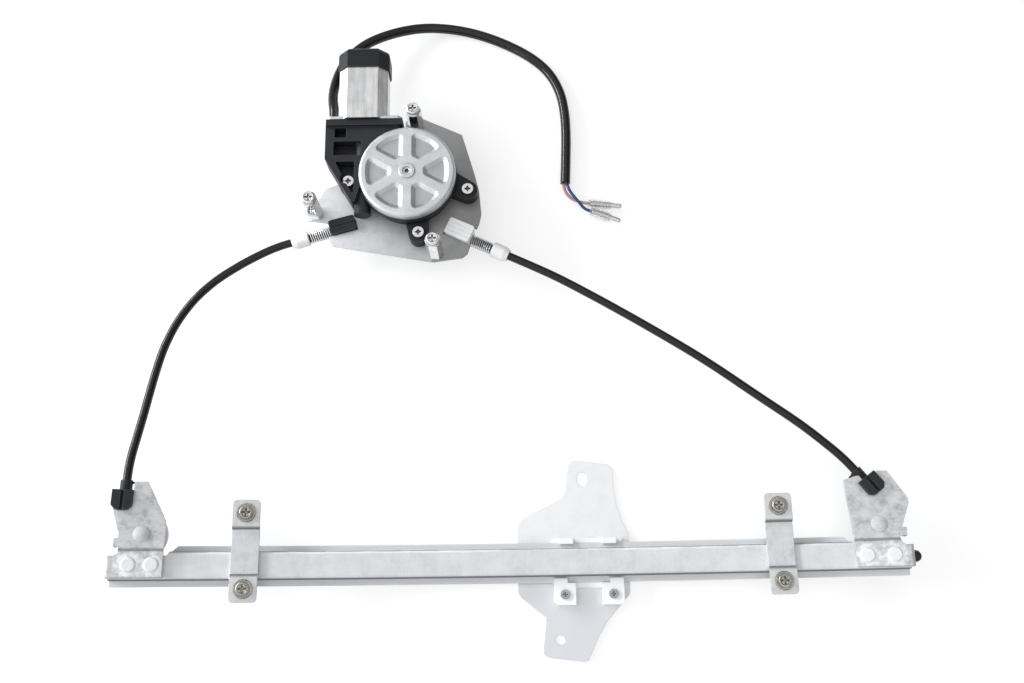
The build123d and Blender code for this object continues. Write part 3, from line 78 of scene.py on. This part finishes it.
class Look:
    """A procedural material, built up from a few kinds of node."""

    def __init__(self, name, **settings):
        self.material = bpy.data.materials.new(name)
        self.material.use_nodes = True
        self.tree = self.material.node_tree
        self.shader = self.tree.nodes["Principled BSDF"]
        for socket, value in settings.items():
            self.shader.inputs[socket.replace("_", " ")].default_value = value
        places = self.node("ShaderNodeTexCoord")
        self.where = places.outputs["Object"]
        self.normal = places.outputs["Normal"]
        self.painted = None

    def node(self, kind, **inputs):
        made = self.tree.nodes.new(kind)
        for socket, value in inputs.items():
            made.inputs[socket.replace("_", " ")].default_value = value
        return made

    def link(self, source, target):
        self.tree.links.new(source, target)

    def noise(self, scale, detail=4.0, roughness=0.55, stretch=(1, 1, 1)):
        """Cloudy pattern, its scale in features per metre."""
        mapping = self.node("ShaderNodeMapping", Scale=stretch)
        self.link(self.where, mapping.inputs["Vector"])
        made = self.node("ShaderNodeTexNoise", Scale=scale, Detail=detail, Roughness=roughness)
        self.link(mapping.outputs["Vector"], made.inputs["Vector"])
        return made.outputs["Fac"]

    def cells(self, scale):
        """A random value for each crystal-like cell."""
        made = self.node("ShaderNodeTexVoronoi", Scale=scale)
        self.link(self.where, made.inputs["Vector"])
        parts = self.node("ShaderNodeSeparateColor")
        self.link(made.outputs["Color"], parts.inputs["Color"])
        return parts.outputs["Red"]

    def along(self, axis, start, end, share):
        """Rises from 0 to a share along an axis of the object, in metres."""
        parts = self.node("ShaderNodeSeparateXYZ")
        self.link(self.where, parts.inputs["Vector"])
        return self.spread(parts.outputs[axis], 0, share, start, end)

    def aside(self, start, end):
        """Rises from 0 to 1 with the distance from the rail's middle line, in metres."""
        parts = self.node("ShaderNodeSeparateXYZ")
        self.link(self.where, parts.inputs["Vector"])
        return self.spread(self.size(parts.outputs["Y"]), 0, 1, start, end)

    def near(self, points, full, none, wobble):
        """Is 1 round any of the points and 0 farther away, with an uneven rim."""
        nearest = None
        for point in points:
            gap = self.node("ShaderNodeVectorMath")
            gap.operation = "DISTANCE"
            gap.inputs[1].default_value = point
            self.link(self.where, gap.inputs[0])
            if nearest is None:
                nearest = gap.outputs["Value"]
            else:
                nearest = self.maths("MINIMUM", nearest, gap.outputs["Value"])
        uneven = self.spread(self.noise(260, 3), -wobble, wobble)
        return self.spread(self.maths("ADD", nearest, uneven), 1, 0, full, none)

    def maths(self, operation, first, second):
        made = self.node("ShaderNodeMath")
        made.operation = operation
        self.link(first, made.inputs[0])
        self.link(second, made.inputs[1])
        return made.outputs["Value"]

    def size(self, value):
        """The value without its sign."""
        made = self.node("ShaderNodeMath")
        made.operation = "ABSOLUTE"
        self.link(value, made.inputs[0])
        return made.outputs["Value"]

    def mixed(self, first, second, share):
        """A weighted sum of two patterns."""
        made = self.node("ShaderNodeMix", Factor=share)
        self.link(first, made.inputs["A"])
        self.link(second, made.inputs["B"])
        return made.outputs["Result"]

    def spread(self, value, low, high, start=0.3, end=0.7):
        """The pattern's middle spread over a range."""
        made = self.node("ShaderNodeMapRange")
        made.inputs["From Min"].default_value = start
        made.inputs["From Max"].default_value = end
        made.inputs["To Min"].default_value = low
        made.inputs["To Max"].default_value = high
        self.link(value, made.inputs["Value"])
        return made.outputs["Result"]

    def paint(self, value, *stops):
        """Colours the surface by a pattern, from (position, colour) stops."""
        ramp = self.node("ShaderNodeValToRGB")
        marks = ramp.color_ramp.elements
        while len(marks) < len(stops):
            marks.new(0.5)
        for mark, (position, colour) in zip(marks, stops):
            mark.position = position
            mark.color = (*colour, 1)
        self.link(value, ramp.inputs["Fac"])
        self.painted = ramp.outputs["Color"]

    def overlay(self, mask, colour):
        """Paints one more colour where the mask is 1."""
        made = self.node("ShaderNodeMix")
        made.data_type = "RGBA"
        share, below, above = made.inputs[0], made.inputs[6], made.inputs[7]
        above.default_value = (*colour, 1)
        self.link(mask, share)
        self.link(self.painted, below)
        self.painted = made.outputs[2]

    def rounded(self, radius):
        """The normal as if the edges were rounded."""
        made = self.node("ShaderNodeBevel", Radius=radius)
        made.samples = 4
        return made.outputs["Normal"]

    def edges(self, radius, gain):
        """Is above 0 at edges: where the rounded normal leaves the true one."""
        true = self.node("ShaderNodeNewGeometry")
        match = self.node("ShaderNodeVectorMath")
        match.operation = "DOT_PRODUCT"
        self.link(self.rounded(radius), match.inputs[0])
        self.link(true.outputs["Normal"], match.inputs[1])
        return self.spread(match.outputs["Value"], gain, 0, 0.75, 1.0)

    def hollows(self, reach):
        """Is 1 deep in recesses and 0 on open faces."""
        made = self.node("ShaderNodeAmbientOcclusion", Distance=reach)
        made.samples = 6
        return self.spread(made.outputs["AO"], 1, 0, 0.30, 0.75)

    def facing(self, direction, normal, start, end):
        """Is 1 where the normal looks along a direction or against it."""
        match = self.node("ShaderNodeVectorMath")
        match.operation = "DOT_PRODUCT"
        match.inputs[1].default_value = direction
        self.link(normal, match.inputs[0])
        return self.spread(self.size(match.outputs["Value"]), 0, 1, start, end)

    def rough(self, value, low, high):
        self.link(self.spread(value, low, high), self.shader.inputs["Roughness"])

    def finish(self, height, depth, radius):
        """Bumps of a depth over edges rounded to a radius, both in metres."""
        bump = self.node("ShaderNodeBump", Strength=1.0, Distance=depth)
        self.link(self.rounded(radius), bump.inputs["Normal"])
        self.link(height, bump.inputs["Height"])
        self.link(bump.outputs["Normal"], self.shader.inputs["Normal"])
        self.link(self.painted, self.shader.inputs["Base Color"])
        return self.material


def grey(level, blue=0.0):
    return (level * (1 - blue), level, level * (1 + blue))


# Marks on the metal pieces, real pale patches and painted shade and light: (where they are full,
# where they end), in metres, and the colours
patch_reach = (0.0045, 0.0095)
patch_wobble = 0.004
patch_grey = grey(0.90)
bend_radius = 0.0006
sheet_edge_radius = 0.0005
sheet_bump = 0.00003
lip_painted_light = grey(0.83, 0.01)
recess_shade_grey = grey(0.02)
flank_shade_grey = grey(0.26, 0.05)
spot_reach = (0.0011, 0.0018)
spot_shade_grey = grey(0.03)
sunk_share = 0.55
sunk_shade_grey = grey(0.34, 0.03)
crisp = 0.0001

# Roughness: from the dark to the light end of a piece's pattern
satin = (0.56, 0.38)
matt = (0.95, 0.82)


def zinc(
    name,
    light,
    mottle,
    size,
    streak=(1, 1, 1),
    pale_at=(),
    bend_shade=0.0,
    shade_along=None,
    sheen=0.55,
    wall=None,
):
    """Zinc-coated sheet: clouds, faint crystals, rolling streaks, pale patches, and painted shade
    on steep bends, along an axis and at the channel's bend, with painted light on its lip.
    """
    look = Look(name, Metallic=sheen)
    clouds = look.noise(size, 6, 0.62)
    crystals = look.cells(520)
    lines = look.noise(700, 3, 0.5, streak)
    fine = look.noise(1500, 2)
    pattern = look.mixed(look.mixed(clouds, lines, 0.22), look.mixed(crystals, fine, 0.5), 0.12)
    look.paint(
        pattern,
        (0.34, grey(light * (1 - mottle), 0.012)),
        (0.48, grey(light * (1 - mottle * 0.35), 0.010)),
        (0.62, grey(light, 0.006)),
    )
    if shade_along:
        axis, start, end, share, colour = shade_along
        # painted shade that rises along an axis of the piece
        look.overlay(look.along(axis, start, end, share), colour)
    if pale_at:
        look.overlay(look.near(pale_at, *patch_reach, patch_wobble), patch_grey)
    if bend_shade:
        # painted shade on the steep faces of joggles and bends, which face across the rail
        steep = look.facing((0, 1, 0), look.rounded(bend_radius), 0.45, 0.95)
        look.overlay(steep, grey(light * (1 - bend_shade), 0.06))
    if wall:
        bend_shade_start, bend_shade_end = wall - 0.0008, wall - 0.0003
        lip_light_start, lip_light_end = wall + 0.00005, wall + 0.0003
        # painted shade line along the channel's bend, just inside its wall
        look.overlay(look.aside(bend_shade_start, bend_shade_end), grey(light * 0.30, 0.06))
        # painted light on the flanges outside the wall, which lie in shade
        look.overlay(look.aside(lip_light_start, lip_light_end), lip_painted_light)
        look.rough(pattern, *matt)
    else:
        look.rough(pattern, *satin)
    return look.finish(look.mixed(lines, fine, 0.4), sheet_bump, sheet_edge_radius)


def metal(
    name,
    dark,
    light,
    scale,
    rough,
    depth,
    stretch=(1, 1, 1),
    radius=0.0002,
    shade_reach=0.0,
    shaded_flank=None,
    shade_spots=(),
    floor=None,
):
    """Metal with grain of one scale, with painted shade in recesses, on flanks, at spots or on a
    sunk floor.
    """
    look = Look(name, Metallic=1.0)
    grain = look.noise(scale, 6, 0.6, stretch)
    clouds = look.noise(110, 3)
    pattern = look.mixed(grain, clouds, 0.4)
    look.paint(pattern, (0.34, dark), (0.64, light))
    if shade_reach:
        # painted shade deep in recesses, from ambient occlusion
        look.overlay(look.hollows(shade_reach), recess_shade_grey)
    if shaded_flank:
        # painted shade on faces that look along the spring's axis, between the turns
        look.overlay(look.facing(shaded_flank, look.normal, 0.35, 0.90), flank_shade_grey)
    if shade_spots:
        # painted shade round the given points
        look.overlay(look.near(shade_spots, *spot_reach, crisp), spot_shade_grey)
    if floor:
        centre, extent = floor
        low = look.along("Z", centre.z + 0.0005, centre.z + 0.0001, sunk_share)
        inside = look.near([centre], extent - 0.001, extent, crisp)
        # painted shade on the sunk floor
        look.overlay(look.maths("MULTIPLY", low, inside), sunk_shade_grey)
    look.rough(pattern, *rough)
    return look.finish(grain, depth, radius)


def plastic(name, dark, light, scale, rough, depth, wear_and_highlight_edge=None, **settings):
    """Moulded or extruded plastic; where an edge colour is named, it has painted shade in its
    hollows and paler edges, partly wear and partly painted highlight.
    """
    look = Look(name, **settings)
    grain = look.noise(scale, 4)
    clouds = look.noise(60, 4)
    look.paint(look.mixed(grain, clouds, 0.6), (0.3, dark), (0.7, light))
    if wear_and_highlight_edge:
        # painted shade deep in hollows, from ambient occlusion
        look.overlay(look.hollows(0.004), grey(0.002))
        # pale edges, partly wear and partly painted highlight
        look.overlay(look.edges(0.0007, 0.9), wear_and_highlight_edge)
    look.rough(look.mixed(clouds, grain, 0.4), *rough)
    return look.finish(grain, depth, 0.0004)


def middle(name):
    low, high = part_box(name)
    return (Vector(low) + Vector(high)) / 2


def spring_look(side):
    """Bright spring wire, with painted shade on the wire's flanks between the turns."""
    lean = (middle(f"{side}_ferrule") - middle(f"{side}_spring")).normalized()
    return metal(
        f"{side}_spring_steel",
        grey(0.74),
        grey(0.90),
        900,
        (0.24, 0.36),
        0.00001,
        radius=0.0001,
        shaded_flank=lean,
    )


# Zinc pieces: a painted shade along an axis is its axis, its start, where it is full, its share
# and its colour
rivet_points = [
    (-0.2939, 0.0004, 0.0434),
    (-0.2799, 0.0004, 0.0406),
    (0.1801, 0.0, 0.0247),
    (0.1973, 0.0, 0.0269),
]
# painted shade on the plate's right side
plate_right_shade = ("X", -0.17, -0.075, 0.94, (0.24, 0.24, 0.24))
carrier_shade = ("Y", 0.0, -0.02, 0.8, (0.69, 0.70, 0.73))
channel_half_width = 0.009
rail_steel = zinc("rail_zinc", 0.79, 0.10, 90, (2.2, 0.12, 1), wall=channel_half_width)
bracket_steel = zinc("bracket_zinc", 0.69, 0.40, 150, (0.5, 1, 1), rivet_points, bend_shade=0.65)
strap_steel = zinc("strap_zinc", 0.71, 0.22, 120, (1, 0.3, 1), bend_shade=0.70)
plate_steel = zinc("plate_zinc", 0.80, 0.20, 110, (0.4, 1, 1), shade_along=plate_right_shade)
carrier_steel = zinc("carrier_zinc", 0.90, 0.06, 70, (0.4, 1, 1), shade_along=carrier_shade)
rivet_zinc = zinc("rivet_zinc", 0.86, 0.10, 300, sheen=0.10)
axle_zinc = zinc("axle_zinc", 0.64, 0.24, 300, sheen=0.0)

# Screws and bright pieces: the housing screws have painted shade at the middle of their recesses
screw_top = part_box("housing_screws")[1][2]
screw_socket_shade = [
    (-0.1621, 0.2650, screw_top),
    (-0.0777, 0.2576, screw_top),
    (-0.1123, 0.2256, screw_top),
]
screw_nickel = metal(
    "screw_nickel",
    grey(0.60),
    grey(0.80),
    500,
    (0.12, 0.24),
    0.00001,
    shade_reach=0.003,
    shade_spots=screw_socket_shade,
)
nickel = metal("nickel", grey(0.66), grey(0.84), 500, (0.10, 0.20), 0.00001, shade_reach=0.005)
brown_zinc = (0.27, 0.26, 0.23)
yellow_zinc = (0.50, 0.49, 0.44)
screw_zinc = metal(
    "screw_zinc", brown_zinc, yellow_zinc, 700, (0.12, 0.22), 0.00002, shade_reach=0.003
)
shoe_zinc = metal(
    "shoe_zinc", grey(0.30, 0.08), grey(0.52, 0.08), 700, (0.26, 0.40), 0.00002, shade_reach=0.003
)
nut_zinc = metal("nut_zinc", grey(0.42), grey(0.60), 500, (0.30, 0.48), 0.00003)

# Gear cap: cast, with painted shade on the floors of its sunk sectors
cap_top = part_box("gear_cap")[1][2]
sector_depth = 0.0030
sector_reach = 0.0300
cap_floor_shade = (Vector((-0.1195, 0.2670, cap_top - sector_depth)), sector_reach)
cast_cap = metal(
    "cast_cap",
    grey(0.54, 0.012),
    grey(0.75, 0.012),
    1700,
    (0.42, 0.58),
    0.00005,
    radius=0.0010,
    shade_reach=0.0025,
    floor=cap_floor_shade,
)
can_steel = metal(
    "can_steel", grey(0.52), grey(0.80), 420, (0.30, 0.46), 0.00003, (1, 0.07, 1), radius=0.0006
)
cable_steel = metal("cable_steel", grey(0.30), grey(0.52), 1600, (0.30, 0.45), 0.00008, (1, 6, 6))
tin = metal("tin", grey(0.50), grey(0.74), 700, (0.20, 0.32), 0.00002)
dull_steel = metal("dull_steel", grey(0.20), grey(0.38), 500, (0.40, 0.60), 0.00004)

# Moulded plastics and rubber: the black ones have painted shade in their hollows and pale edges,
# partly wear and partly painted highlight
cold_black = (0.011, 0.012, 0.014)
soft_black = (0.021, 0.022, 0.026)
black_edge_wear_and_highlight = (0.080, 0.088, 0.102)
deep_black = grey(0.006, 0.1)
dull = {"Specular_IOR_Level": 0.30}
black_nylon = plastic(
    "black_nylon", cold_black, soft_black, 1500, (0.42, 0.60), 0.00006, black_edge_wear_and_highlight, **dull
)
black_cap = plastic(
    "black_cap", deep_black, cold_black, 1200, (0.36, 0.52), 0.00003, black_edge_wear_and_highlight, **dull
)
black_rubber = plastic("black_rubber", grey(0.008), grey(0.018), 900, (0.55, 0.75), 0.00006)
white_acetal = plastic("white_acetal", grey(0.93), grey(0.97), 500, (0.36, 0.50), 0.00002)
white_gear = plastic("white_gear", grey(0.72), grey(0.84), 500, (0.36, 0.50), 0.00002)

# Conduits, lead and wires: glossy, so that the key lamp draws a streak along them
glossy = (0.08, 0.14)
dark_blue = (0.010, 0.030, 0.110)
light_blue = (0.030, 0.070, 0.220)
dark_pink = (0.42, 0.22, 0.20)
light_pink = (0.58, 0.34, 0.30)
black_sheath = plastic(
    "black_sheath", grey(0.004), grey(0.007), 700, glossy, 0.00001, Specular_IOR_Level=0.40
)
lead_vinyl = plastic(
    "lead_vinyl", grey(0.004), grey(0.008), 500, glossy, 0.00001, Specular_IOR_Level=0.42
)
blue_vinyl = plastic("blue_vinyl", dark_blue, light_blue, 600, (0.18, 0.30), 0.00002)
pink_vinyl = plastic("pink_vinyl", dark_pink, light_pink, 600, (0.3, 0.4), 0.00002)
clear_vinyl = plastic(
    "clear_vinyl",
    grey(0.88),
    grey(0.96),
    400,
    (0.04, 0.10),
    0.00002,
    Transmission_Weight=0.9,
    IOR=1.42,
)

looks = {
    "guide_rail": rail_steel,
    "left_end_bracket": bracket_steel,
    "right_end_bracket": bracket_steel,
    "bracket_rivets": rivet_zinc,
    "pulley_axles": axle_zinc,
    "left_strap": strap_steel,
    "right_strap": strap_steel,
    "strap_screws": screw_zinc,
    "strap_weld_nuts": nut_zinc,
    "left_conduit_fitting": black_nylon,
    "right_conduit_fitting": black_nylon,
    "left_conduit": black_sheath,
    "right_conduit": black_sheath,
    "left_spring": spring_look("left"),
    "right_spring": spring_look("right"),
    "left_ferrule": white_acetal,
    "right_ferrule": white_acetal,
    "left_cable_block": black_nylon,
    "right_cable_block": white_acetal,
    "drum_housing": black_nylon,
    "mounting_plate": plate_steel,
    "gear_housing": black_nylon,
    "gear_cap": cast_cap,
    "housing_screws": screw_nickel,
    "standoffs": nickel,
    "standoff_screws": nickel,
    "motor_can": can_steel,
    "motor_end_cap": black_cap,
    "lift_cable": cable_steel,
    "drum_cables": cable_steel,
    "wound_cable": cable_steel,
    "rail_stop": black_rubber,
    "blue_wire": blue_vinyl,
    "pink_wire": pink_vinyl,
    "terminal_sleeves": clear_vinyl,
    "bullet_terminals": tin,
    "carrier_plate": carrier_steel,
    "slider_shoe": white_acetal,
    "shoe_screws": shoe_zinc,
    "cable_nipples": nut_zinc,
    "cable_drum": black_nylon,
    "worm_wheel": white_gear,
    "output_shaft": nickel,
    "motor_armature": dull_steel,
    "left_pulley": white_acetal,
    "right_pulley": white_acetal,
}
for name, look in looks.items():
    materials = nodes[name].data.materials
    if not materials:
        materials.append(look)
    for i in range(len(materials)):
        materials[i] = look

# Motor lead: from the gear housing round the motor to its two plugs
lead_radius = 0.00365
lead_points_mm = [
    (-173.5, 305.0, 34.0),
    (-173.5, 318.5, 33.6),
    (-177.0, 338.0, 28.0),
    (-173.5, 361.0, 21.0),
    (-166.0, 376.0, 18.0),
    (-153.0, 389.0, 15.5),
    (-134.0, 399.0, 12.0),
    (-113.0, 405.8, 7.5),
    (-91.9, 406.4, 4.4),
    (-70.8, 401.8, 3.7),
    (-49.6, 392.8, 3.7),
    (-30.6, 381.5, 3.7),
    (-16.7, 368.3, 3.7),
    (-8.5, 351.7, 3.7),
    (-5.4, 334.1, 3.7),
    (-4.9, 315.0, 3.7),
    (-5.7, 296.2, 3.7),
    (-6.8, 275.5, 3.7),
]
lead_points = [Vector(point) / 1000 for point in lead_points_mm]
lead_curve = bpy.data.curves.new("motor_lead", "CURVE")
lead_curve.dimensions = "3D"
lead_curve.resolution_u = 8
lead_curve.bevel_depth = lead_radius
lead_curve.bevel_resolution = 6
lead_curve.use_fill_caps = True
spline = lead_curve.splines.new("NURBS")
spline.points.add(len(lead_points) - 1)
for control, point in zip(spline.points, lead_points):
    control.co = (*point, 1)
spline.order_u = 3
spline.use_endpoint_u = True
motor_lead = bpy.data.objects.new("motor_lead", lead_curve)
bpy.context.scene.collection.objects.link(motor_lead)
lead_curve.materials.append(lead_vinyl)
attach(motor_lead, "frame")
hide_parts("lead_sleeve")

# Floor: white to the camera and in reflections, with the object's shadow
floor_mesh = bpy.data.meshes.new("floor")
reach = 10.0
floor_level = -0.0004
corners = [
    (-reach, -reach, floor_level),
    (reach, -reach, floor_level),
    (reach, reach, floor_level),
    (-reach, reach, floor_level),
]
floor_mesh.from_pydata(corners, [], [(0, 1, 2, 3)])
floor = bpy.data.objects.new("floor", floor_mesh)
bpy.context.scene.collection.objects.link(floor)
floor_look = bpy.data.materials.new("floor_paper")
floor_look.use_nodes = True
tree = floor_look.node_tree
paper = tree.nodes["Principled BSDF"]
paper_grey = grey(0.46)
paper_glow = 0.62
paper.inputs["Base Color"].default_value = (*paper_grey, 1)
paper.inputs["Roughness"].default_value = 0.9
paper.inputs["Specular IOR Level"].default_value = 0.1
paper.inputs["Emission Color"].default_value = (1, 1, 1, 1)


def seen_directly(tree):
    """Is 1 for rays from the camera, a mirror or a glass, and 0 for the light itself."""
    rays = tree.nodes.new("ShaderNodeLightPath")
    seen = rays.outputs["Is Camera Ray"]
    for kind in ("Is Glossy Ray", "Is Transmission Ray"):
        either = tree.nodes.new("ShaderNodeMath")
        either.operation = "MAXIMUM"
        tree.links.new(seen, either.inputs[0])
        tree.links.new(rays.outputs[kind], either.inputs[1])
        seen = either.outputs["Value"]
    return seen


glow = tree.nodes.new("ShaderNodeMath")
glow.operation = "MULTIPLY"
glow.inputs[1].default_value = paper_glow
tree.links.new(seen_directly(tree), glow.inputs[0])
tree.links.new(glow.outputs["Value"], paper.inputs["Emission Strength"])
floor_mesh.materials.append(floor_look)

# World: brightest overhead and to the left, dim towards the right
brightest_way = (-0.60, -0.20, 0.775)
sky_strength = 1.10
world = bpy.data.worlds.new("studio")
bpy.context.scene.world = world
world.use_nodes = True
tree = world.node_tree
background = tree.nodes["Background"]
direction = tree.nodes.new("ShaderNodeTexCoord")
lean = tree.nodes.new("ShaderNodeVectorMath")
lean.operation = "DOT_PRODUCT"
lean.inputs[1].default_value = brightest_way
sky = tree.nodes.new("ShaderNodeValToRGB")
levels = [(0.0, 0.20), (0.30, 0.48), (0.62, 0.86), (1.0, 1.0)]
while len(sky.color_ramp.elements) < len(levels):
    sky.color_ramp.elements.new(0.5)
for mark, (position, level) in zip(sky.color_ramp.elements, levels):
    mark.position = position
    mark.color = (level, level, level * 1.01, 1)
tree.links.new(direction.outputs["Generated"], lean.inputs[0])
tree.links.new(lean.outputs["Value"], sky.inputs["Fac"])
tree.links.new(sky.outputs["Color"], background.inputs["Color"])
background.inputs["Strength"].default_value = sky_strength

# Lamps: a long low one to the left for the streaks, and a weak one in front
lamp_aim = Vector((-0.05, 0.15, 0.0))
cool_white = (0.92, 0.97, 1.0)


def lamp(name, where, width, height, power):
    """Soft oblong lamp that faces the part."""
    data = bpy.data.lights.new(name, "AREA")
    data.shape = "RECTANGLE"
    data.size = width
    data.size_y = height
    data.energy = power
    data.color = cool_white
    made = bpy.data.objects.new(name, data)
    made.location = where
    towards = lamp_aim - Vector(where)
    made.rotation_euler = towards.to_track_quat("-Z", "Y").to_euler()
    bpy.context.scene.collection.objects.link(made)


lamp("key_lamp", (-1.40, 0.60, 0.58), 1.5, 0.20, 24.0)
lamp("fill_lamp", (0.50, -1.00, 1.30), 1.0, 1.0, 1.5)

bpy.context.scene.view_settings.view_transform = "Standard"
